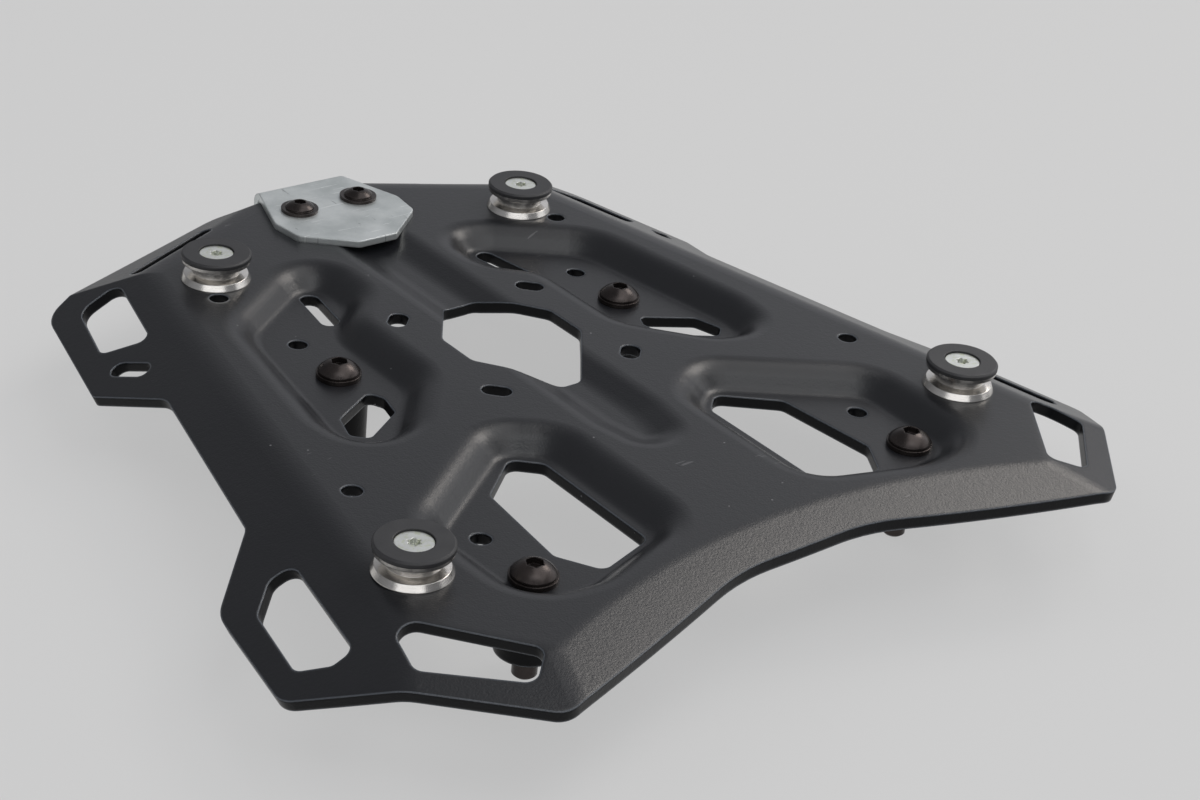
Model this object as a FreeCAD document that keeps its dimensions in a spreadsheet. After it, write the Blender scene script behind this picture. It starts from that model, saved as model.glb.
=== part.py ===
# Top case rack of a motorcycle: a pressed 4 mm steel plate with drooping wings,
# four grooved spools that catch the case, a latch plate at the rear and four
# mounting bolts on spacers. Millimetres. +X is the rider's right, +Y points
# forward, +Z up. The plate is symmetric about the plane X = 0 and the origin
# lies under its middle, on the level of the bolt ends that carry it.
import FreeCAD, Part
import Sketcher
import math
import os
from FreeCAD import Vector, Placement, Rotation

doc = FreeCAD.newDocument("TopCaseRack")
sheet = doc.addObject("Spreadsheet::Sheet", "Dimensions")

CELLS = (
    # pressed plate
    ("plate_thickness", 4.0),
    ("recess_depth", 7.3),
    ("valley_depth", 3.5),
    ("bend_radius", 20.0),
    ("side_slope", 24.7),
    ("side_fold_halfwidth", 86.3),
    ("side_fold_taper", 11.23),
    ("rear_slope", 25.0),
    ("rear_fold_x", 29.0),
    ("rear_fold_y", -42.8),
    ("rear_fold_turn", 27.3),
    ("corner_slope", 11.0),
    ("corner_fold_x", 114.5),
    ("corner_fold_y", 218.0),
    ("corner_fold_turn", 49.8),
    ("front_edge_y", 228.9),
    ("front_edge_halfwidth", 26.0),
    ("front_edge_round", 80.0),
    ("lip_width", 14.4),
    ("lip_radius", 249.5),
    ("lip_slope", 13.0),
    ("lip_bend", 14.0),
    ("wall_slope", 45.0),
    ("crest_round", 11.0),
    ("floor_round", 4.0),
    ("valley_slope", 20.0),
    ("valley_crest_round", 12.0),
    ("valley_floor_round", 14.0),
    # place of the rear spools along the rack
    ("rear_spool_y", -101.0),
    # spools
    ("spool_spacing", 184.8),
    ("rear_spool_x", 65.4),
    ("front_spool_x", 111.4),
    ("spool_diameter", 24.0),
    ("spool_height", 8.25),
    ("spool_foot_rim", 0.3),
    ("spool_foot_bevel", 2.0),
    ("spool_foot_crest", 22.0),
    ("spool_foot_dish", 0.7),
    ("spool_neck_diameter", 16.4),
    ("spool_groove", 2.3),
    ("spool_head_bevel", 1.6),
    ("spool_head_diameter", 23.4),
    ("cap_thickness", 1.75),
    ("cap_bore", 12.0),
    ("cap_edge", 0.6),
    ("spool_bore", 6.4),
    ("spool_hole", 6.6),
    ("csk_diameter", 11.5),
    ("csk_rim", 0.85),
    ("csk_recess", 0.56),
    ("csk_length", 20.0),
    ("lobe_tips", 4.5),
    ("lobe_waist", 3.27),
    ("lobe_round", 0.38),
    ("lobe_depth", 2.0),
    ("small_thread", 6.0),
    ("small_nut_flats", 10.0),
    ("small_nut_height", 5.0),
    ("thread_clearance", 0.1),
    # latch plate
    ("latch_thickness", 2.5),
    ("latch_front_y", 2.6),
    ("latch_front_halfwidth", 8.0),
    ("latch_halfwidth", 26.6),
    ("latch_shoulder_y", -11.5),
    ("latch_waist_y", -24.5),
    ("latch_rear_y", -52.5),
    ("latch_rear_halfwidth", 18.2),
    ("latch_hook_radius", 4.0),
    ("latch_hook_drop", 4.0),
    ("latch_screw_x", 12.7),
    ("latch_screw_y", -30.0),
    ("latch_hole", 6.6),
    ("flange_diameter", 13.6),
    ("flange_thickness", 1.1),
    ("button_diameter", 10.4),
    ("button_height", 2.6),
    ("button_rim", 0.6),
    ("latch_screw_length", 16.0),
    ("small_socket_flats", 4.0),
    ("small_socket_depth", 2.0),
    # mounting bolts, washers and spacers
    ("rear_mount_x", 59.5),
    ("rear_mount_y", 68.3),
    ("front_mount_x", 77.2),
    ("front_mount_y", 196.8),
    ("mount_hole", 9.0),
    ("mount_shank", 8.0),
    ("mount_thread", 7.8),
    ("mount_length", 35.0),
    ("mount_head_diameter", 14.0),
    ("mount_head_height", 4.4),
    ("mount_head_rim", 0.8),
    ("mount_socket_flats", 5.0),
    ("mount_socket_depth", 2.6),
    ("washer_diameter", 15.0),
    ("washer_bore", 8.4),
    ("washer_thickness", 1.6),
    ("spacer_diameter", 20.0),
    ("spacer_bore", 8.6),
    ("spacer_length", 20.0),
    # openings of the plate
    ("fixing_hole", 6.6),
    ("slot_width", 6.6),
    ("short_slot_length", 10.0),
    ("square_pattern", 56.0),
    ("square_pattern_y", 84.0),
    ("opening_halfwidth", 22.8),
)

sheet.set("A1", "size")
sheet.set("B1", "value")
for row, (alias, value) in enumerate(CELLS, start=2):
    sheet.set("A%d" % row, alias)
    sheet.set("B%d" % row, str(value))
    sheet.setAlias("B%d" % row, alias)
doc.recompute()


def size(name):
    return float(sheet.get(name))


def bound(text):
    # a sum such as "spool_height - cap_thickness / 2" as its value now and as
    # the expression that keeps it tied to the sheet
    total = 0.0
    sign = 1.0
    words = text.split()
    parts = []
    place = 0
    while place < len(words):
        word = words[place]
        if word in ("+", "-"):
            sign = 1.0 if word == "+" else -1.0
            parts.append(word)
            place += 1
            continue
        number = word.replace(".", "").isdigit()
        amount = float(word) if number else size(word)
        parts.append(word if number else "Dimensions." + word)
        if place + 2 < len(words) and words[place + 1] in ("/", "*"):
            factor = float(words[place + 2])
            amount = amount / factor if words[place + 1] == "/" else amount * factor
            parts.append(words[place + 1])
            parts.append(words[place + 2])
            place += 2
        total += sign * amount
        sign = 1.0
        place += 1
    return total, " ".join(parts)


TOP = "mount_length - washer_thickness + recess_depth"
SPACER_FOOT = "mount_length - washer_thickness - plate_thickness - spacer_length"
NECK = "spool_foot_rim + spool_foot_bevel + spool_foot_dish"
Z_TOP = bound(TOP)[0]
Y_REAR = size("rear_spool_y")
T = size("plate_thickness")


# The skin of the plate: a flat top whose sides, rear corners, front corners and
# front edge droop. A fold is a point and a direction in plan, and the slope of
# what lies to the right of that direction.
def folds():
    taper = math.radians(size("side_fold_taper"))
    rear = math.radians(size("rear_fold_turn"))
    corner = math.radians(size("corner_fold_turn"))
    side_at = Vector(size("side_fold_halfwidth"), 0, 0)
    side_dir = Vector(math.sin(taper), math.cos(taper), 0)
    rear_at = Vector(size("rear_fold_x"), size("rear_fold_y"), 0)
    rear_dir = Vector(math.cos(rear), math.sin(rear), 0)
    corner_at = Vector(size("corner_fold_x"), size("corner_fold_y"), 0)
    corner_dir = Vector(-math.cos(corner), math.sin(corner), 0)
    return (
        (side_at, side_dir, math.radians(size("side_slope"))),
        (rear_at, rear_dir, math.radians(size("rear_slope"))),
        (corner_at, corner_dir, math.radians(size("corner_slope"))),
    )


def fold_axes(direction, slope):
    out = Vector(direction.y, -direction.x, 0)
    down = out * math.cos(slope) - Vector(0, 0, 1) * math.sin(slope)
    normal = out * math.sin(slope) + Vector(0, 0, 1) * math.cos(slope)
    return down, normal


def above_fold(at, direction, slope, sink):
    # the space over the drooping plane, sunk square to it by the given depth
    down, normal = fold_axes(direction, slope)
    frame = FreeCAD.Matrix(
        direction.x, -down.x, normal.x, at.x - normal.x * sink,
        direction.y, -down.y, normal.y, at.y - normal.y * sink,
        direction.z, -down.z, normal.z, at.z - normal.z * sink,
        0, 0, 0, 1)
    block = Part.makeBox(1200, 1200, 200, Vector(-600, -600, 0))
    block.Placement = Placement(frame)
    return block


def mirrored(shape):
    return shape.mirror(Vector(0, 0, 0), Vector(1, 0, 0))


def press_block(sink):
    # everything under the skin sunk by the given depth, before the recesses;
    # the front lip is turned about an upright axis in front of the rack
    crest = size("lip_radius")
    middle = Vector(0, size("front_edge_y") - size("lip_width") + crest, 0)
    slope = math.radians(size("lip_slope"))
    bend = size("lip_bend") - sink
    run = size("lip_bend") * math.tan(slope / 2)
    start = Vector(crest + run, 0, -sink)
    end = Vector(start.x - bend * math.sin(slope), 0, -sink - bend * (1 - math.cos(slope)))
    half = Vector(start.x - bend * math.sin(slope / 2), 0, -sink - bend * (1 - math.cos(slope / 2)))
    reach = end.x - 120.0
    toe = Vector(reach, 0, end.z - (end.x - reach) * math.tan(slope))
    outer = crest + 420.0
    edges = [
        Part.LineSegment(Vector(outer, 0, -sink), start).toShape(),
        Part.Arc(start, half, end).toShape(),
        Part.LineSegment(end, toe).toShape(),
        Part.LineSegment(toe, Vector(reach, 0, -80)).toShape(),
        Part.LineSegment(Vector(reach, 0, -80), Vector(outer, 0, -80)).toShape(),
        Part.LineSegment(Vector(outer, 0, -80), Vector(outer, 0, -sink)).toShape(),
    ]
    face = Part.Face(Part.Wire(edges))
    face.rotate(Vector(0, 0, 0), Vector(0, 0, 1), 180)
    block = face.revolve(Vector(0, 0, 0), Vector(0, 0, 1), 180)
    block.translate(middle)
    cuts = []
    for at, direction, slope in folds():
        right = above_fold(at, direction, slope, sink)
        cuts.append(right)
        cuts.append(mirrored(right))
    block = block.cut(cuts).Solids[0]
    creases = []
    for edge in block.Edges:
        faces = block.ancestorsOfType(edge, Part.Face)
        up = 0
        for face in faces:
            u0, u1, v0, v1 = face.ParameterRange
            if face.normalAt((u0 + u1) / 2, (v0 + v1) / 2).z > 0.5:
                up += 1
        if up == 2 and min(v.Z for v in edge.Vertexes) > -79:
            creases.append(edge)
    return block.makeFillet(size("bend_radius") - sink, creases).Solids[0]


# Recesses are pressed into the flat top. Each is given by the corners where the
# planes of its walls meet its floor, running counterclockwise, and their radii.
def rounded_curves(corners, radii):
    # a closed outline with an arc at each corner
    count = len(corners)
    tangents = []
    for i in range(count):
        here = corners[i]
        back = corners[i - 1] - here
        ahead = corners[(i + 1) % count] - here
        half = back.getAngle(ahead) / 2
        reach = radii[i] / math.tan(half)
        back.normalize()
        ahead.normalize()
        middle = back + ahead
        middle.normalize()
        apex = here + middle * (radii[i] / math.sin(half) - radii[i])
        tangents.append((here + back * reach, apex, here + ahead * reach))
    curves = []
    for i in range(count):
        start, apex, end = tangents[i]
        curves.append(Part.Arc(start, apex, end))
        curves.append(Part.LineSegment(end, tangents[(i + 1) % count][0]))
    return curves


def rounded(corners, radii):
    return Part.Wire([curve.toShape() for curve in rounded_curves(corners, radii)])


def level(points, height):
    return [Vector(x, y, height) for x, y in points]


def grown(points, amount):
    # the same outline moved outwards by the given amount; the points run
    # counterclockwise
    if amount == 0:
        return list(points)
    result = []
    count = len(points)
    for i in range(count):
        here = Vector(points[i][0], points[i][1], 0)
        back = here - Vector(points[i - 1][0], points[i - 1][1], 0)
        ahead = Vector(points[(i + 1) % count][0], points[(i + 1) % count][1], 0) - here
        back.normalize()
        ahead.normalize()
        out_back = Vector(back.y, -back.x, 0)
        out_ahead = Vector(ahead.y, -ahead.x, 0)
        middle = out_back + out_ahead
        middle.normalize()
        here = here + middle * (amount / middle.dot(out_back))
        result.append((here.x, here.y))
    return result


def dish(outline, radii, depth, draft, sink):
    # the hollow of a recess, whose outline opens out with the height; under the
    # sheet it is wider by what the sheet's thickness takes round the corner
    draft = math.radians(draft)
    rings = []
    for rise in (0, depth + 1):
        out = sink * math.tan(draft / 2) + rise / math.tan(draft)
        corners = []
        for i in range(len(outline)):
            ax, ay = outline[i - 1]
            bx, by = outline[i]
            cx, cy = outline[(i + 1) % len(outline)]
            convex = (bx - ax) * (cy - by) > (by - ay) * (cx - bx)
            corners.append(radii[i] + (out if convex else -out))
        rings.append(rounded(level(grown(outline, out), rise - depth - sink), corners))
    return Part.makeLoft(rings, True, True)


def rim(shape, hollow, height):
    # the edges at a height where the walls of a hollow start or end
    room = hollow.BoundBox
    room.enlarge(0.01)
    edges = []
    for edge in shape.Edges:
        box = edge.BoundBox
        if abs(box.ZMin - height) > 1e-4 or abs(box.ZMax - height) > 1e-4 or not room.isInside(box):
            continue
        for face in shape.ancestorsOfType(edge, Part.Face):
            if face.BoundBox.ZLength > 0.5 and room.isInside(face.BoundBox):
                edges.append(edge)
                break
    return edges


def pressed(shape, hollow, depth, crest, floor, sink):
    # sinks a recess and rolls the edges at its crest and round its floor
    shape = shape.cut(hollow).Solids[0]
    shape = shape.makeFillet(crest - sink, rim(shape, hollow, -sink)).Solids[0]
    return shape.makeFillet(floor + sink, rim(shape, hollow, -depth - sink)).Solids[0]


# inner rear, rear, beside the rear spool, outer, front, round the opening, inner
SIDE_RECESS = ((30.5, 10.3), (41, 12.7), (71.6, 34.6), (81.8, 99), (79.6, 114.3), (66.1, 111.5),
               (46, 88.3), (46, 44.5), (30.5, 29))
SIDE_RADII = (6, 14, 16, 20, 7, 10, 14, 22, 12)
FRONT_RECESS = ((31, 145.5), (43.9, 135.9), (88, 166.2), (86, 207), (66, 209.3), (31, 198.2))
FRONT_RADII = (10, 8, 12, 12, 20, 10)
VALLEY = ((4.9, 0), (4.9, 142), (2.2, 156), (-2.2, 156), (-4.9, 142), (-4.9, 0))
VALLEY_RADII = (4, 12, 2, 2, 12, 4)


def skin(sink):
    shape = press_block(sink)
    depth = size("recess_depth")
    for outline, radii in ((SIDE_RECESS, SIDE_RADII), (FRONT_RECESS, FRONT_RADII)):
        hollow = dish(outline, radii, depth, size("wall_slope"), sink)
        for one in (hollow, mirrored(hollow)):
            shape = pressed(shape, one, depth, size("crest_round"), size("floor_round"), sink)
    dip = size("valley_depth")
    hollow = dish(VALLEY, VALLEY_RADII, dip, size("valley_slope"), sink)
    return pressed(shape, hollow, dip, size("valley_crest_round"), size("valley_floor_round"), sink)


def skin_at(x, y):
    # how deep the drooping plane lies at a place, and the direction square to it
    side = 1 if x >= 0 else -1
    depth = 0.0
    normal = Vector(0, 0, 1)
    for at, direction, slope in folds():
        out = Vector(direction.y, -direction.x, 0)
        reach = (Vector(abs(x), y, 0) - at).dot(out)
        if reach * math.tan(slope) > depth:
            depth = reach * math.tan(slope)
            normal = fold_axes(direction, slope)[1]
    return depth, Vector(side * normal.x, normal.y, normal.z)


def blank_solid(points, radii):
    # the trimmed outline, whose edge stands square to the skin at every corner
    low = []
    high = []
    for x, y in points:
        depth, normal = skin_at(x, y)
        lean = Vector(x, y, -depth) + normal * ((depth + 20) / normal.z)
        high.append(lean)
        lean = Vector(x, y, -depth) + normal * ((depth - 70) / normal.z)
        low.append(lean)
    return Part.makeLoft([rounded(low, radii), rounded(high, radii)], True, True)


def punch(points, radii):
    # a cutter square to the plane that the opening lies in
    middle_x = sum(p[0] for p in points) / len(points)
    middle_y = sum(p[1] for p in points) / len(points)
    depth, normal = skin_at(middle_x, middle_y)
    corners = []
    for x, y in points:
        rise = (normal.x * (x - middle_x) + normal.y * (y - middle_y)) / normal.z
        corners.append(Vector(x, y, -depth - rise) + normal * 15)
    return Part.Face(rounded(corners, radii)).extrude(normal * -45)


def both_sides(points, radii):
    # the right half of an outline, from the rear to the front, and its mirror image
    left = [(-x, y) for x, y in reversed(points)]
    return list(points) + left, list(radii) + list(reversed(radii))


def slot(x, y, turn, length, width):
    # four corners and radii of a slot with round ends
    along = Vector(math.cos(math.radians(turn)), math.sin(math.radians(turn)), 0)
    across = Vector(-along.y, along.x, 0)
    corners = []
    for a, b in ((-1, -1), (1, -1), (1, 1), (-1, 1)):
        p = Vector(x, y, 0) + along * (a * length / 2) + across * (b * width / 2)
        corners.append((p.x, p.y))
    return corners, (width * 0.495,) * 4


OUTLINE = ((27, -47), (37, -51.2), (115.4, -27.2), (127.8, 28.8), (115.1, 53.8), (132.5, 131.1),
           (155.7, 154.9), (162.9, 198.8), (110.8, 256.2),
           (size("front_edge_halfwidth"), size("front_edge_y")))
OUTLINE_RADII = (8, 12, 12, 3, 7, 6, 12, 8, 7, size("front_edge_round"))

opening = size("opening_halfwidth")
CENTRE_OPENING = ((6, 52), (opening, 74.5), (opening, 91.5), (4.3, 115.8))
CENTRE_RADII = (4, 5, 5, 5)

grid = size("square_pattern") / 2
grid_y = size("square_pattern_y")
short = size("short_slot_length")
width = size("slot_width")
OPENINGS = (
    # triangular opening of the front recess
    (((43, 139.5), (61, 154), (64.8, 190.5), (56.5, 204), (34.7, 197.5), (34.7, 147)),
     (4, 4, 4, 4, 4, 4)),
    # kidney opening of the side recess
    (((57.5, 82.5), (74.8, 92.6), (78, 103), (73, 107.5), (57, 97.5), (54.8, 88)),
     (2.5, 3, 2.5, 2.5, 2.5, 3)),
    # slot across the front corner
    (((130.2, 199.1), (135.2, 220.4), (111.5, 242.7), (102, 233.7)), (5, 4, 4, 3.5)),
    # opening of the front wing
    (((132.6, 156.5), (140, 156), (149.3, 165), (154.6, 193), (147.6, 200.3), (141, 200.5)),
     (4, 5, 5, 4, 3, 4)),
    # opening of the rear wing
    (((92.3, -19.5), (107.7, -18.5), (115.2, 11), (102, 20.5)), (4, 7, 3.5, 3.5)),
    # strap slot behind it and the long slit along the rear edge
    slot(113.8, 28.4, 118, 14, 6.4),
    slot(65.8, -29.6, 24.4, 44, 5),
    # slots of the square pattern and the slot beside the rear spool
    slot(grid, grid_y - grid, 45, short, width),
    slot(grid, grid_y + grid, 135, short, width),
    slot(39.45, 25.7, 80.5, 24, 6.8),
)
FIXING_HOLES = ((59.5, 43.5), (102.4, 140.7), (77.8, 172.2), (72.5, 14))

upper = skin(0)
lower = skin(T)
sheet_metal = upper.cut(lower)
blank = blank_solid(*both_sides(OUTLINE, OUTLINE_RADII))
cutters = [punch(*both_sides(CENTRE_OPENING, CENTRE_RADII))]
for points, radii in OPENINGS:
    cutter = punch(points, radii)
    cutters.append(cutter)
    cutters.append(mirrored(cutter))
rounds = []
for x, y in FIXING_HOLES:
    rounds.append((x, y, size("fixing_hole")))
rounds.append((size("rear_spool_x"), 0, size("spool_hole")))
rounds.append((size("front_spool_x"), size("spool_spacing"), size("spool_hole")))
rounds.append((size("latch_screw_x"), size("latch_screw_y"), size("latch_hole")))
rounds.append((size("rear_mount_x"), size("rear_mount_y"), size("mount_hole")))
rounds.append((size("front_mount_x"), size("front_mount_y"), size("mount_hole")))
for x, y, diameter in rounds:
    for side in (1, -1):
        cutters.append(Part.makeCylinder(diameter / 2, 90, Vector(side * x, y, -70)))
plate_shape = sheet_metal.common(blank).cut(cutters)

plate = doc.addObject("Part::Feature", "rack_plate")
plate.Label = "rack_plate"
plate.Shape = plate_shape


# Turned and bent pieces. A corner of a profile is a pair of sums from the sheet.
def plane_of(body, role):
    for feature in body.Origin.OriginFeatures:
        if feature.Role == role:
            return feature
    return None


def polygon(body, name, role, corners):
    sketch = body.newObject("Sketcher::SketchObject", name)
    sketch.AttachmentSupport = [(plane_of(body, role), "")]
    sketch.MapMode = "FlatFace"
    count = len(corners)
    places = [Vector(bound(c[0])[0], bound(c[1])[0], 0) for c in corners]
    for i in range(count):
        here = places[i]
        there = places[(i + 1) % count]
        if len(corners[i]) == 2:
            sketch.addGeometry(Part.LineSegment(here, there), False)
            continue
        # a crown: an arc from here up to the axis, level where it gets there
        rise = there.y - here.y
        radius = (here.x * here.x + rise * rise) / (2 * rise)
        middle = Vector(0, there.y - radius, 0)
        low = math.atan2(here.y - middle.y, here.x)
        circle = Part.Circle(middle, Vector(0, 0, 1), radius)
        sketch.addGeometry(Part.ArcOfCircle(circle, low, math.pi / 2), False)
        sketch.addConstraint(Sketcher.Constraint("PointOnObject", i, 3, -2))
    for i in range(count):
        sketch.addConstraint(Sketcher.Constraint("Coincident", i, 2, (i + 1) % count, 1))
    for i in range(count):
        for kind, text in zip(("DistanceX", "DistanceY"), corners[i]):
            amount, expression = bound(text)
            if amount == 0:
                place = -2 if kind == "DistanceX" else -1
                sketch.addConstraint(Sketcher.Constraint("PointOnObject", i, 1, place))
                continue
            index = sketch.addConstraint(Sketcher.Constraint(kind, -1, 1, i, 1, amount))
            sketch.setExpression("Constraints[%d]" % index, expression)
    return sketch


def turned(label, corners, place):
    body = doc.addObject("PartDesign::Body", label)
    body.Label = label
    profile = polygon(body, label + "_profile", "XZ_Plane", corners)
    solid = body.newObject("PartDesign::Revolution", label + "_turned")
    solid.Profile = profile
    solid.ReferenceAxis = (profile, ["V_Axis"])
    solid.Angle = 360
    profile.Visibility = False
    put(body, place)
    return body


def put(thing, place):
    for axis, text in zip("xyz", place):
        amount, expression = bound(text)
        thing.setExpression("Placement.Base." + axis, expression)


def raised_sketch(body, name, height):
    # a level sketch at the given height
    sketch = body.newObject("Sketcher::SketchObject", name)
    sketch.AttachmentSupport = [(plane_of(body, "XY_Plane"), "")]
    sketch.MapMode = "FlatFace"
    amount, expression = bound(height)
    sketch.AttachmentOffset = Placement(Vector(0, 0, amount), Rotation())
    sketch.setExpression("AttachmentOffset.Base.z", expression)
    sketch.Visibility = False
    return sketch


def hexagon(body, name, flats, height):
    # a hexagon of the given width across flats
    sketch = raised_sketch(body, name, height)
    corner = bound(flats)[0] / math.sqrt(3)
    points = []
    for i in range(6):
        turn = math.radians(60 * i)
        points.append(Vector(corner * math.cos(turn), corner * math.sin(turn), 0))
    for i in range(6):
        sketch.addGeometry(Part.LineSegment(points[i], points[(i + 1) % 6]), False)
    for i in range(6):
        sketch.addConstraint(Sketcher.Constraint("Coincident", i, 2, (i + 1) % 6, 1))
    ring = sketch.addGeometry(Part.Circle(Vector(0, 0, 0), Vector(0, 0, 1), corner), True)
    sketch.addConstraint(Sketcher.Constraint("Coincident", ring, 3, -1, 1))
    for i in range(6):
        sketch.addConstraint(Sketcher.Constraint("PointOnObject", i, 1, ring))
    for i in range(5):
        sketch.addConstraint(Sketcher.Constraint("Equal", i, i + 1))
    sketch.addConstraint(Sketcher.Constraint("PointOnObject", 0, 1, -1))
    index = sketch.addConstraint(Sketcher.Constraint("Diameter", ring, corner * 2))
    sketch.setExpression("Constraints[%d]" % index, bound(flats)[1] + " * 1.154700538")
    return sketch


def six_lobes(body, name, tips, height):
    # six round lobes that reach the given diameter, with a hollow arc tangent to
    # each two of them
    sketch = raised_sketch(body, name, height)
    tip = size("lobe_round")
    reach = bound(tips)[0] / 2 - tip
    near = size("lobe_waist") / 2
    lean = math.cos(math.pi / 6)
    hollow = (reach ** 2 + near ** 2 - 2 * reach * near * lean - tip ** 2) / (2 * (tip - near + reach * lean))
    touch = tip / (tip + hollow)

    def spot(distance, turn):
        return Vector(distance * math.cos(math.radians(turn)), distance * math.sin(math.radians(turn)), 0)

    for i in range(6):
        lobe = spot(reach, 60 * i)
        before = lobe + (spot(near + hollow, 60 * i - 30) - lobe) * touch
        after = lobe + (spot(near + hollow, 60 * i + 30) - lobe) * touch
        following = spot(reach, 60 * i + 60)
        following = following + (spot(near + hollow, 60 * i + 30) - following) * touch
        sketch.addGeometry(Part.Arc(before, spot(reach + tip, 60 * i), after), False)
        sketch.addGeometry(Part.Arc(after, spot(near, 60 * i + 30), following), False)
    return sketch


def socket(body, name, outline, width, depth, height):
    # the straight recess in the top of a screw's head
    pocket = body.newObject("PartDesign::Pocket", name)
    pocket.Profile = outline(body, name + "_outline", width, height)
    pocket.Length = bound(depth)[0]
    pocket.setExpression("Length", bound(depth)[1])
    return pocket


def small_nut(label, place):
    body = doc.addObject("PartDesign::Body", label)
    body.Label = label
    outline = hexagon(body, label + "_outline", "small_nut_flats", "0")
    amount, expression = bound("small_thread + thread_clearance")
    hole = outline.addGeometry(Part.Circle(Vector(0, 0, 0), Vector(0, 0, 1), amount / 2), False)
    outline.addConstraint(Sketcher.Constraint("Coincident", hole, 3, -1, 1))
    index = outline.addConstraint(Sketcher.Constraint("Diameter", hole, amount))
    outline.setExpression("Constraints[%d]" % index, expression)
    pad = body.newObject("PartDesign::Pad", label + "_pad")
    pad.Profile = outline
    pad.Length = size("small_nut_height")
    pad.setExpression("Length", "Dimensions.small_nut_height")
    put(body, place)
    return body


put(plate, ("0", "rear_spool_y", TOP))


def at_rear_spool(y_text):
    return "rear_spool_y" if y_text == "0" else "rear_spool_y + " + y_text


for end, x_text, y_text in (("rear", "rear_spool_x", "0"), ("front", "front_spool_x", "spool_spacing")):
    for hand, sign in (("right", ""), ("left", "- ")):
        tag = end + "_" + hand
        x_place = sign + x_text
        y_place = at_rear_spool(y_text)
        turned("spool_" + tag, (
            ("spool_bore / 2", "0"),
            ("spool_diameter / 2", "0"),
            ("spool_diameter / 2", "spool_foot_rim"),
            ("spool_foot_crest / 2", "spool_foot_rim + spool_foot_bevel"),
            ("spool_neck_diameter / 2", NECK),
            ("spool_neck_diameter / 2", NECK + " + spool_groove"),
            ("spool_head_diameter / 2", NECK + " + spool_groove + spool_head_bevel"),
            ("spool_head_diameter / 2", "spool_height"),
            ("csk_diameter / 2 + csk_recess + csk_rim - cap_thickness", "spool_height"),
            ("spool_bore / 2",
             "spool_height + spool_bore / 2 - csk_diameter / 2 - csk_recess - csk_rim + cap_thickness"),
        ), (x_place, y_place, TOP))
        turned("spool_cap_" + tag, (
            ("cap_bore / 2", "0"),
            ("spool_diameter / 2", "0"),
            ("spool_diameter / 2", "cap_thickness - cap_edge"),
            ("spool_diameter / 2 - cap_edge", "cap_thickness"),
            ("cap_bore / 2", "cap_thickness"),
        ), (x_place, y_place, TOP + " + spool_height"))
        screw = turned("spool_screw_" + tag, (
            ("0", "0"),
            ("small_thread / 2", "0"),
            ("small_thread / 2", "csk_length - csk_rim + small_thread / 2 - csk_diameter / 2"),
            ("csk_diameter / 2", "csk_length - csk_rim"),
            ("csk_diameter / 2", "csk_length"),
            ("0", "csk_length"),
        ), (x_place, y_place, TOP + " + spool_height + cap_thickness - csk_recess - csk_length"))
        socket(screw, "spool_socket_" + tag, six_lobes, "lobe_tips", "lobe_depth", "csk_length")
        small_nut("spool_nut_" + tag, (x_place, y_place, TOP + " - plate_thickness - small_nut_height"))

for hand, sign in (("right", ""), ("left", "- ")):
    screw = turned("latch_screw_" + hand, (
        ("0", "0"),
        ("small_thread / 2", "0"),
        ("small_thread / 2", "latch_screw_length"),
        ("flange_diameter / 2", "latch_screw_length"),
        ("flange_diameter / 2", "latch_screw_length + flange_thickness"),
        ("button_diameter / 2", "latch_screw_length + flange_thickness"),
        ("button_diameter / 2", "latch_screw_length + flange_thickness + button_rim", "crown"),
        ("0", "latch_screw_length + flange_thickness + button_height"),
    ), (sign + "latch_screw_x", "rear_spool_y + latch_screw_y",
        TOP + " + latch_thickness - latch_screw_length"))
    socket(screw, "latch_socket_" + hand, hexagon, "small_socket_flats", "small_socket_depth",
           "latch_screw_length + flange_thickness + button_height")
    small_nut("latch_nut_" + hand, (sign + "latch_screw_x", "rear_spool_y + latch_screw_y",
              TOP + " - plate_thickness - small_nut_height"))

for end in ("rear", "front"):
    for hand, sign in (("right", ""), ("left", "- ")):
        tag = end + "_" + hand
        x_place = sign + end + "_mount_x"
        y_place = "rear_spool_y + " + end + "_mount_y"
        bolt = turned("mount_bolt_" + tag, (
            ("0", "0"),
            ("mount_thread / 2 - 0.8", "0"),
            ("mount_thread / 2", "0.8"),
            ("mount_thread / 2", SPACER_FOOT),
            ("mount_shank / 2", SPACER_FOOT),
            ("mount_shank / 2", "mount_length"),
            ("mount_head_diameter / 2", "mount_length"),
            ("mount_head_diameter / 2", "mount_length + mount_head_rim", "crown"),
            ("0", "mount_length + mount_head_height"),
        ), (x_place, y_place, "0"))
        socket(bolt, "mount_socket_" + tag, hexagon, "mount_socket_flats", "mount_socket_depth",
               "mount_length + mount_head_height")
        turned("mount_washer_" + tag, (
            ("washer_bore / 2", "0"),
            ("washer_diameter / 2", "0"),
            ("washer_diameter / 2", "washer_thickness"),
            ("washer_bore / 2", "washer_thickness"),
        ), (x_place, y_place, "mount_length - washer_thickness"))
        turned("mount_spacer_" + tag, (
            ("spacer_bore / 2", "0"),
            ("spacer_diameter / 2", "0"),
            ("spacer_diameter / 2", "spacer_length"),
            ("spacer_bore / 2", "spacer_length"),
        ), (x_place, y_place, SPACER_FOOT))

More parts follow.
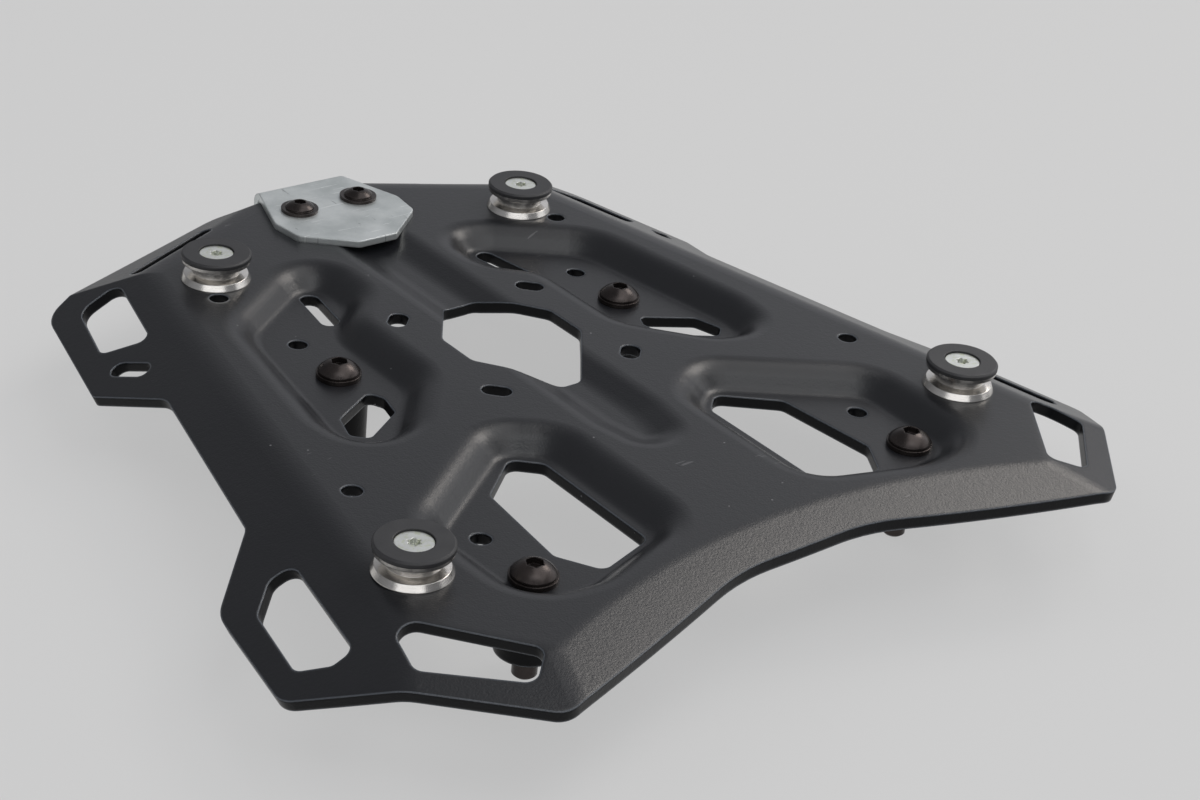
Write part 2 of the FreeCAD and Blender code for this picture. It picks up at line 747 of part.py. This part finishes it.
# Latch plate: its side profile is bent down into a hook at the rear, and the
# plan outline trims it.
latch = doc.addObject("PartDesign::Body", "latch_plate")
latch.Label = "latch_plate"
blank_profile = latch.newObject("Sketcher::SketchObject", "latch_profile")
blank_profile.AttachmentSupport = [(plane_of(latch, "YZ_Plane"), "")]
blank_profile.MapMode = "FlatFace"
front = size("latch_front_y")
rear = size("latch_rear_y")
hook = size("latch_hook_radius")
drop = size("latch_hook_drop")
thick = size("latch_thickness")
bend_y = rear + hook
bend_z = thick - hook
inner = hook - thick
corner = math.sqrt(0.5)
blank_profile.addGeometry([
    Part.LineSegment(Vector(front, 0, 0), Vector(front, thick, 0)),
    Part.LineSegment(Vector(front, thick, 0), Vector(bend_y, thick, 0)),
    Part.Arc(Vector(bend_y, thick, 0), Vector(bend_y - hook * corner, bend_z + hook * corner, 0),
             Vector(rear, bend_z, 0)),
    Part.LineSegment(Vector(rear, bend_z, 0), Vector(rear, bend_z - drop, 0)),
    Part.LineSegment(Vector(rear, bend_z - drop, 0), Vector(rear + thick, bend_z - drop, 0)),
    Part.LineSegment(Vector(rear + thick, bend_z - drop, 0), Vector(rear + thick, bend_z, 0)),
    Part.Arc(Vector(rear + thick, bend_z, 0),
             Vector(bend_y - inner * corner, bend_z + inner * corner, 0), Vector(bend_y, 0, 0)),
    Part.LineSegment(Vector(bend_y, 0, 0), Vector(front, 0, 0)),
], False)
latch_pad = latch.newObject("PartDesign::Pad", "latch_pad")
latch_pad.Profile = blank_profile
latch_pad.Length = 2 * size("latch_halfwidth")
latch_pad.setExpression("Length", "2 * Dimensions.latch_halfwidth")
latch_pad.Midplane = True
blank_profile.Visibility = False
latch_cut = latch.newObject("Sketcher::SketchObject", "latch_outline")
latch_cut.AttachmentSupport = [(plane_of(latch, "XY_Plane"), "")]
latch_cut.MapMode = "FlatFace"
latch_cut.AttachmentOffset = Placement(Vector(0, 0, 20), Rotation())
half = (
    (size("latch_rear_halfwidth"), rear - 1),
    (size("latch_rear_halfwidth"), rear + 3),
    (size("latch_halfwidth"), size("latch_waist_y")),
    (size("latch_halfwidth") - 1.5, size("latch_shoulder_y")),
    (size("latch_front_halfwidth"), front),
)
corners, radii = both_sides(half, (0.5, 5, 5, 4, 2))
latch_cut.addGeometry(rounded_curves(level(corners, 0), radii), False)
frame_x = size("latch_halfwidth") + 10
frame = (Vector(-frame_x, rear - 10, 0), Vector(frame_x, rear - 10, 0),
         Vector(frame_x, front + 10, 0), Vector(-frame_x, front + 10, 0))
for i in range(4):
    latch_cut.addGeometry(Part.LineSegment(frame[i], frame[(i + 1) % 4]), False)
latch_trim = latch.newObject("PartDesign::Pocket", "latch_trim")
latch_trim.Profile = latch_cut
latch_trim.Type = 1
latch_cut.Visibility = False
latch_holes = latch.newObject("Sketcher::SketchObject", "latch_holes")
latch_holes.AttachmentSupport = [(plane_of(latch, "XY_Plane"), "")]
latch_holes.MapMode = "FlatFace"
latch_holes.AttachmentOffset = Placement(Vector(0, 0, 20), Rotation())
for side in (1, -1):
    place = Vector(side * size("latch_screw_x"), size("latch_screw_y"), 0)
    hole = latch_holes.addGeometry(Part.Circle(place, Vector(0, 0, 1), size("latch_hole") / 2), False)
    for kind, value, text in (
            ("DistanceX", place.x, ("" if side == 1 else "-") + "Dimensions.latch_screw_x"),
            ("DistanceY", place.y, "Dimensions.latch_screw_y")):
        index = latch_holes.addConstraint(Sketcher.Constraint(kind, -1, 1, hole, 3, value))
        latch_holes.setExpression("Constraints[%d]" % index, text)
    index = latch_holes.addConstraint(Sketcher.Constraint("Diameter", hole, size("latch_hole")))
    latch_holes.setExpression("Constraints[%d]" % index, "Dimensions.latch_hole")
latch_drill = latch.newObject("PartDesign::Pocket", "latch_drill")
latch_drill.Profile = latch_holes
latch_drill.Type = 1
latch_holes.Visibility = False
put(latch, ("0", "rear_spool_y", TOP))

doc.recompute()

NODES = [o for o in doc.Objects if o.TypeId == "PartDesign::Body" or o.Name == "rack_plate"]
for thing in doc.Objects:
    if "Invalid" in thing.State or "Error" in thing.State:
        raise RuntimeError("failed: " + thing.Name + " " + str(thing.State))
for node in NODES:
    if node.Shape.isNull() or not node.Shape.isValid() or len(node.Shape.Solids) != 1:
        raise RuntimeError("bad shape: " + node.Label)
os.makedirs("parts", exist_ok=True)
for node in NODES:
    node.Shape.exportStep("parts/" + node.Label + ".step")
print("nodes", len(NODES))
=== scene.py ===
import math

import bmesh
import bpy
from mathutils import Matrix, Vector

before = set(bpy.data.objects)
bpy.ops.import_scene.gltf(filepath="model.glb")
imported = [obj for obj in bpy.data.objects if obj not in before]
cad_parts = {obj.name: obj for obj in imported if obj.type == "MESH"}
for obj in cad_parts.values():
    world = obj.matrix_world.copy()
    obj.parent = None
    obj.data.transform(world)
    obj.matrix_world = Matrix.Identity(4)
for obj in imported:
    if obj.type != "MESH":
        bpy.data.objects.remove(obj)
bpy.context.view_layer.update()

# Lengths are in metres, angles in degrees and colours linear. An azimuth turns from
# +X towards +Y, and an elevation rises from the floor. A noise's scale is in its
# features a metre, where the coordinates are the object's own.

WHITE = (1.0, 1.0, 1.0)


def grey(value):
    return (value, value, value)


def direction(azimuth, elevation):
    """The unit vector that points that way."""
    azimuth = math.radians(azimuth)
    elevation = math.radians(elevation)
    return Vector((math.cos(elevation) * math.cos(azimuth),
                   math.cos(elevation) * math.sin(azimuth),
                   math.sin(elevation)))


class Graph:
    """Builds a node tree from nothing."""

    def __init__(self, tree):
        self.tree = tree
        self.tree.nodes.clear()

    def add(self, kind, **values):
        """A new node with its properties and its sockets' values set by name."""
        node = self.tree.nodes.new(kind)
        for key, value in values.items():
            if hasattr(node, key):
                setattr(node, key, value)
            else:
                node.inputs[key.replace("_", " ")].default_value = value
        return node

    def join(self, a, b):
        self.tree.links.new(a, b)

    def coords(self, kind="Object", scale=None):
        source = self.add("ShaderNodeTexCoord").outputs[kind]
        if scale is None:
            return source
        mapping = self.add("ShaderNodeMapping", Scale=scale)
        self.join(source, mapping.inputs["Vector"])
        return mapping.outputs[0]

    def noise(self, where, scale, detail=3.0, rough=0.55):
        node = self.add("ShaderNodeTexNoise", Scale=scale, Detail=detail, Roughness=rough)
        self.join(where, node.inputs["Vector"])
        return node.outputs["Fac"]

    def ramp(self, value, *stops):
        """A colour ramp through stops of (place, colour)."""
        node = self.add("ShaderNodeValToRGB")
        elements = node.color_ramp.elements
        while len(elements) < len(stops):
            elements.new(0.5)
        for element, (place, colour) in zip(elements, stops):
            element.position = place
            element.color = (*colour, 1.0)
        self.join(value, node.inputs["Fac"])
        return node.outputs["Color"]

    def math(self, kind, *values, clamp=False):
        """A math node on numbers and sockets."""
        node = self.add("ShaderNodeMath", operation=kind, use_clamp=clamp)
        for slot, value in enumerate(values):
            if isinstance(value, (int, float)):
                node.inputs[slot].default_value = value
            else:
                self.join(value, node.inputs[slot])
        return node.outputs[0]

    def blend(self, *shares):
        """The sum of (socket, weight) pairs."""
        total = None
        for value, weight in shares:
            part = self.math("MULTIPLY", value, weight)
            total = part if total is None else self.math("ADD", total, part)
        return total

    def span(self, value, low, high, low_from=0.0, high_from=1.0):
        """The value's stretch from low_from to high_from, laid over low to high."""
        node = self.add("ShaderNodeMapRange", From_Min=low_from, From_Max=high_from,
                        To_Min=low, To_Max=high)
        self.join(value, node.inputs["Value"])
        return node.outputs[0]

    def mix(self, factor, a, b):
        """Colour a turning to colour b as the factor grows."""
        node = self.add("ShaderNodeMix", data_type="RGBA")
        self.join(factor, node.inputs[0])
        self.join(a, node.inputs[6])
        node.inputs[7].default_value = (*b, 1.0)
        return node.outputs[2]

    def dot(self, a, b):
        """The dot product of a socket with a socket or a vector."""
        node = self.add("ShaderNodeVectorMath", operation="DOT_PRODUCT")
        self.join(a, node.inputs[0])
        if isinstance(b, Vector):
            node.inputs[1].default_value = b
        else:
            self.join(b, node.inputs[1])
        return node.outputs["Value"]

    def split(self, vector):
        node = self.add("ShaderNodeSeparateXYZ")
        self.join(vector, node.inputs[0])
        return node.outputs

    def rounded(self, radius):
        """The surface's normal with its edges rounded to that radius."""
        return self.add("ShaderNodeBevel", samples=6, Radius=radius).outputs[0]


class Finish(Graph):
    """A material with one principled surface."""

    def __init__(self, name):
        self.mat = bpy.data.materials.new(name)
        self.mat.use_nodes = True
        super().__init__(self.mat.node_tree)
        self.out = self.add("ShaderNodeOutputMaterial")
        self.bsdf = self.add("ShaderNodeBsdfPrincipled")
        self.join(self.bsdf.outputs[0], self.out.inputs["Surface"])

    def give(self, **values):
        """Sets or joins the surface's inputs by name."""
        for key, value in values.items():
            socket = self.bsdf.inputs[key.replace("_", " ")]
            if isinstance(value, float):
                socket.default_value = value
            else:
                self.join(value, socket)

    def relief(self, height, strength, distance, edge):
        """Bumps the surface by the height, over edges rounded to the radius edge."""
        bump = self.add("ShaderNodeBump", Strength=strength, Distance=distance)
        self.join(height, bump.inputs["Height"])
        self.join(self.rounded(edge), bump.inputs["Normal"])
        self.give(Normal=bump.outputs[0])


# the plate's coat: the cosine between a true and a rounded normal, at a sharp edge
# and away from it, and the upright share of a normal, on cut faces and on the skin
EDGE_AT, EDGE_OFF = 0.84, 0.985
CUT_AT, SKIN_AT = 0.46, 0.58
SKIN_SPECULAR, CUT_SPECULAR, EDGE_SPECULAR = 0.52, 0.14, 0.45
SPECK_SIZE, DUSTY_ABOVE = 0.04, 0.57
LINT_ABOVE, LINT_ZONE_ABOVE = 0.71, 0.69


def powder_coat():
    """A grained black coat with a little dust and lint, with a painted highlight along the
    sheet's edges and painted shade on its cut faces.
    """
    net = Finish("black_powder_coat")
    where = net.coords()
    grain = net.noise(where, scale=1500.0, detail=2.0)
    orange = net.noise(where, scale=520.0, detail=2.0)
    cloud = net.noise(where, scale=9.0, detail=4.0)

    specks = net.add("ShaderNodeTexVoronoi", Scale=120.0)
    net.join(where, specks.inputs["Vector"])
    speck = net.math("LESS_THAN", specks.outputs["Distance"], SPECK_SIZE)
    dust = net.noise(where, scale=17.0, detail=2.0)
    dusty = net.math("MULTIPLY", speck, net.math("GREATER_THAN", dust, DUSTY_ABOVE))

    lint = net.noise(net.coords("Object", (1.0, 7.0, 3.0)), scale=60.0, detail=2.0)
    zone = net.noise(where, scale=21.0, detail=1.0)
    linty = net.math("MULTIPLY", net.math("GREATER_THAN", lint, LINT_ABOVE),
                     net.math("GREATER_THAN", zone, LINT_ZONE_ABOVE))

    # the sheet's edges are rounded and glossier, and their colour is a pale bluish painted
    # highlight
    normal = net.add("ShaderNodeNewGeometry").outputs["Normal"]
    edge = net.ramp(net.dot(net.rounded(0.0010), normal),
                    (EDGE_AT, grey(1.0)), (EDGE_OFF, grey(0.0)))
    # the cut faces of the sheet, which stand square to it, are painted near black as painted
    # shade
    lean = net.math("ABSOLUTE", net.split(normal)[2])
    cut_face_shade = net.ramp(lean, (CUT_AT, grey(1.0)), (SKIN_AT, grey(0.0)))

    tone = net.ramp(cloud, (0.3, (0.0095, 0.0102, 0.0124)), (0.7, (0.0130, 0.0136, 0.0158)))
    # painted shade: the cut faces darkened nearly to black
    tone = net.mix(cut_face_shade, tone, (0.0040, 0.0042, 0.0050))
    # painted highlight: a pale bluish colour laid along the rounded edges
    tone = net.mix(edge, tone, (0.104, 0.120, 0.144))
    tone = net.mix(linty, tone, (0.07, 0.07, 0.073))
    tone = net.mix(dusty, tone, (0.15, 0.15, 0.155))
    cut = net.math("SUBTRACT", cut_face_shade, edge, clamp=True)
    shine = net.math("ADD", net.span(cut, SKIN_SPECULAR, CUT_SPECULAR),
                     net.math("MULTIPLY", edge, EDGE_SPECULAR))
    uneven = net.blend((cloud, 0.6), (orange, 0.4))
    net.give(Base_Color=tone, Roughness=net.span(uneven, 0.26, 0.37), Specular_IOR_Level=shine)
    net.relief(net.blend((grain, 0.9), (orange, 0.7)),
               strength=0.48, distance=0.00013, edge=0.0014)
    return net.mat


# a turned part's deeper shade, as a share of its colour, and its roughness's spread
SHADE = 0.86
SPREAD = 0.25


def turned_metal(name, colour, rough, edge, metallic=1.0, tarnish=None):
    """Metal with fine turning rings round the middle of the part's own box."""
    net = Finish(name)
    inside = net.coords("Generated")
    x, y, z = net.split(inside)
    dx = net.math("SUBTRACT", x, 0.5)
    dy = net.math("SUBTRACT", y, 0.5)
    square = net.math("ADD", net.math("MULTIPLY", dx, dx), net.math("MULTIPLY", dy, dy))
    rings = net.add("ShaderNodeCombineXYZ")
    net.join(net.math("SQRT", square), rings.inputs["X"])
    net.join(z, rings.inputs["Z"])
    lines = net.noise(rings.outputs[0], scale=150.0, detail=3.0)
    cloud = net.noise(inside, scale=3.0, detail=3.0)
    shade = tuple(SHADE * part for part in colour)
    tone = net.ramp(cloud, (0.3, shade), (0.7, colour))
    if tarnish:
        patch = net.ramp(net.noise(inside, scale=7.0, detail=4.0),
                         (0.50, grey(0.0)), (0.62, grey(0.6)))
        tone = net.mix(patch, tone, tarnish)
    net.give(Base_Color=tone, Metallic=metallic,
             Roughness=net.span(lines, rough * (1.0 - SPREAD), rough * (1.0 + SPREAD)))
    net.relief(lines, strength=0.35, distance=0.00003, edge=edge)
    return net.mat


BRIGHT_ABOVE, DARK_BELOW = 0.66, 0.32


def zinc():
    """Mottled zinc plating with handling marks along and across."""
    net = Finish("zinc_plate")
    where = net.coords()
    brushed = net.noise(net.coords("Object", (1.0, 14.0, 14.0)), scale=160.0, detail=3.0)
    mottle = net.noise(where, scale=75.0, detail=4.0)
    fine = net.noise(where, scale=900.0, detail=2.0)
    along = net.noise(net.coords("Object", (2.0, 34.0, 1.0)), scale=30.0, detail=5.0, rough=0.6)
    across = net.noise(net.coords("Object", (28.0, 3.0, 1.0)), scale=26.0, detail=4.0, rough=0.6)
    tone = net.ramp(mottle, (0.35, (0.54, 0.575, 0.57)), (0.65, (0.72, 0.75, 0.745)))
    tone = net.mix(net.math("LESS_THAN", across, DARK_BELOW), tone, (0.40, 0.42, 0.42))
    tone = net.mix(net.math("GREATER_THAN", along, BRIGHT_ABOVE), tone, (0.88, 0.90, 0.895))
    uneven = net.blend((mottle, 0.5), (fine, 0.5))
    net.give(Base_Color=tone, Metallic=0.78, Roughness=net.span(uneven, 0.30, 0.50))
    net.relief(net.math("ADD", net.math("MULTIPLY", brushed, 0.5), fine),
               strength=0.25, distance=0.00008, edge=0.0009)
    return net.mat


def black_screw():
    """Brownish black oxide on steel screws."""
    net = Finish("black_screw")
    where = net.coords()
    fine = net.noise(where, scale=1500.0, detail=2.0)
    cloud = net.noise(where, scale=170.0, detail=3.0)
    tone = net.ramp(cloud, (0.3, (0.034, 0.029, 0.028)), (0.7, (0.060, 0.050, 0.047)))
    net.give(Base_Color=tone, Metallic=0.8, Roughness=net.span(cloud, 0.20, 0.34))
    net.relief(fine, strength=0.3, distance=0.00005, edge=0.0005)
    return net.mat


def cap_black():
    """Matt black plastic of the ring caps."""
    net = Finish("cap_black")
    where = net.coords()
    fine = net.noise(where, scale=2400.0, detail=2.0)
    cloud = net.noise(where, scale=160.0, detail=3.0)
    tone = net.ramp(cloud, (0.3, (0.024, 0.024, 0.026)), (0.7, (0.034, 0.034, 0.036)))
    net.give(Base_Color=tone, Roughness=net.span(cloud, 0.42, 0.56))
    net.relief(fine, strength=0.25, distance=0.00008, edge=0.0004)
    return net.mat


PLATE = powder_coat()
STEEL = turned_metal("turned_steel", (0.76, 0.735, 0.70), rough=0.22, edge=0.0003)
SCREW = turned_metal("bright_screw", (0.86, 0.875, 0.84), rough=0.30, edge=0.0004,
                     metallic=0.85, tarnish=(0.66, 0.70, 0.50))
# the first row whose words start a node's name gives its material, and the rest,
# the plate and its spacers, are coated
FINISHES = (
    (("spool_screw", "spool_nut", "latch_nut"), SCREW),
    (("spool_cap",), cap_black()),
    (("spool_",), STEEL),
    (("latch_plate",), zinc()),
    (("latch_screw", "mount_bolt", "mount_washer"), black_screw()),
    (("",), PLATE),
)
for name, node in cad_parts.items():
    material = next(finish for starts, finish in FINISHES if name.startswith(starts))
    for slot in node.material_slots:
        slot.material = material
    if not node.material_slots:
        node.data.materials.append(material)

# the floor is pale round the rack; light that falls far outside the picture is
# mostly swallowed, as a dark room would
FLOOR_HALF = 14.0
FLOOR_GAP = 0.0002
PALE = grey(0.76)
FAR = grey(0.16)
PER_RAMP = 0.25  # the ramps below run over 4 m
mesh = bpy.data.meshes.new("floor")
maker = bmesh.new()
bmesh.ops.create_grid(maker, x_segments=1, y_segments=1, size=FLOOR_HALF)
maker.to_mesh(mesh)
maker.free()
floor = bpy.data.objects.new("floor", mesh)
floor.location = (0.0, 0.0, -FLOOR_GAP)
bpy.context.scene.collection.objects.link(floor)
ground = Finish("floor_pale")
away = ground.add("ShaderNodeVectorMath", operation="LENGTH")
ground.join(ground.coords(), away.inputs[0])
reach = ground.math("MULTIPLY", away.outputs["Value"], PER_RAMP)
paper = ground.ramp(reach, (0.42, PALE), (0.8, FAR))
ground.give(Base_Color=paper, Roughness=0.9, Specular_IOR_Level=0.1)
# part of the floor's paleness is its own, for the camera and for what mirrors or
# shows the floor, so that the shadow stays soft and no light is added to the rack
glow = ground.add("ShaderNodeEmission", Color=(*PALE, 1.0), Strength=0.78)
path = ground.add("ShaderNodeLightPath")
seen = ground.math("MAXIMUM", path.outputs["Is Camera Ray"], path.outputs["Is Glossy Ray"])
seen = ground.math("MAXIMUM", seen, path.outputs["Is Transmission Ray"])
share = ground.ramp(reach, (0.30, grey(0.78)), (0.42, grey(1.0)))
surface = ground.add("ShaderNodeMixShader")
ground.join(ground.math("MULTIPLY", seen, share), surface.inputs[0])
ground.join(ground.bsdf.outputs[0], surface.inputs[1])
ground.join(glow.outputs[0], surface.inputs[2])
ground.join(surface.outputs[0], ground.out.inputs["Surface"])
floor.data.materials.append(ground.mat)

# the room's light by the angle from its brightest side, 0 opposite to it and 1
# towards it, and by height, dimmer near the horizon
BRIGHT_SIDE = 200
ROOM = ((0.0, 0.32), (0.35, 0.22), (0.6, 0.19), (0.75, 0.28), (0.86, 0.48), (0.93, 0.64))
RED, BLUE = 0.985, 1.05
world = bpy.data.worlds.new("studio")
bpy.context.scene.world = world
world.use_nodes = True
sky = Graph(world.node_tree)
toward = sky.coords("Generated")
side = sky.math("MULTIPLY_ADD", sky.dot(toward, direction(BRIGHT_SIDE, 0)), 0.5, 0.5)
tone = sky.ramp(side, *((place, (RED * level, level, BLUE * level)) for place, level in ROOM))
dome = sky.add("ShaderNodeBackground")
sky.join(tone, dome.inputs["Color"])
sky.join(sky.span(sky.split(toward)[2], 0.36, 1.0, low_from=-0.05, high_from=0.34),
         dome.inputs["Strength"])
sky.join(dome.outputs[0], sky.add("ShaderNodeOutputWorld").inputs["Surface"])

TARGET = Vector((0.0, 0.0, 0.03))


def softbox(name, azimuth, elevation, distance, wide, high, radiance, tint=WHITE):
    """A rectangular lamp at that direction and distance, of that brightness as seen."""
    data = bpy.data.lights.new(name, "AREA")
    data.shape = "RECTANGLE"
    data.size = wide
    data.size_y = high
    data.energy = radiance * math.pi * wide * high
    data.color = tint
    box = bpy.data.objects.new(name, data)
    box.location = direction(azimuth, elevation) * distance
    box.rotation_euler = (TARGET - box.location).to_track_quat("-Z", "Y").to_euler()
    bpy.context.scene.collection.objects.link(box)
    return box


# name, azimuth, elevation, distance, width, height, radiance, tint
softbox("key", 186, 43, 1.6, 0.58, 0.50, 4.95, (1.0, 0.935, 0.87))
softbox("right_side", 160, 25, 1.9, 1.9, 1.15, 0.68)
softbox("ceiling", 138, 68, 1.5, 1.7, 1.25, 1.25)
softbox("over_camera", 58, 62, 1.5, 0.95, 0.55, 0.85, (0.95, 0.98, 1.0))
softbox("front_wall", 50, 25, 1.9, 2.6, 0.8, 1.05)
fill = softbox("fill", 305, 48, 1.7, 1.5, 1.2, 0.9)
fill.visible_glossy = False

# the camera as it was solved from the photograph
CAMERA_PLACE = (0.434366, 0.514502, 0.392794)
CAMERA_YAW, CAMERA_PITCH, CAMERA_ROLL = -131.860, 28.541, 6.276
CAMERA_LENS, CAMERA_SENSOR, CAMERA_NEAR = 68.65, 36.0, 0.01
forward = direction(CAMERA_YAW, -CAMERA_PITCH)
right = forward.cross(Vector((0.0, 0.0, 1.0))).normalized()
up = right.cross(forward)
roll = math.radians(CAMERA_ROLL)
across = right * math.cos(roll) + up * math.sin(roll)
above = up * math.cos(roll) - right * math.sin(roll)
camera_data = bpy.data.cameras.new("camera")
camera_data.sensor_width = CAMERA_SENSOR
camera_data.lens = CAMERA_LENS
camera_data.clip_start = CAMERA_NEAR
camera = bpy.data.objects.new("camera", camera_data)
turn = Matrix((across, above, -forward)).transposed()
camera.matrix_world = Matrix.Translation(CAMERA_PLACE) @ turn.to_4x4()
bpy.context.scene.collection.objects.link(camera)
bpy.context.scene.camera = camera
bpy.context.scene.view_settings.view_transform = "Standard"
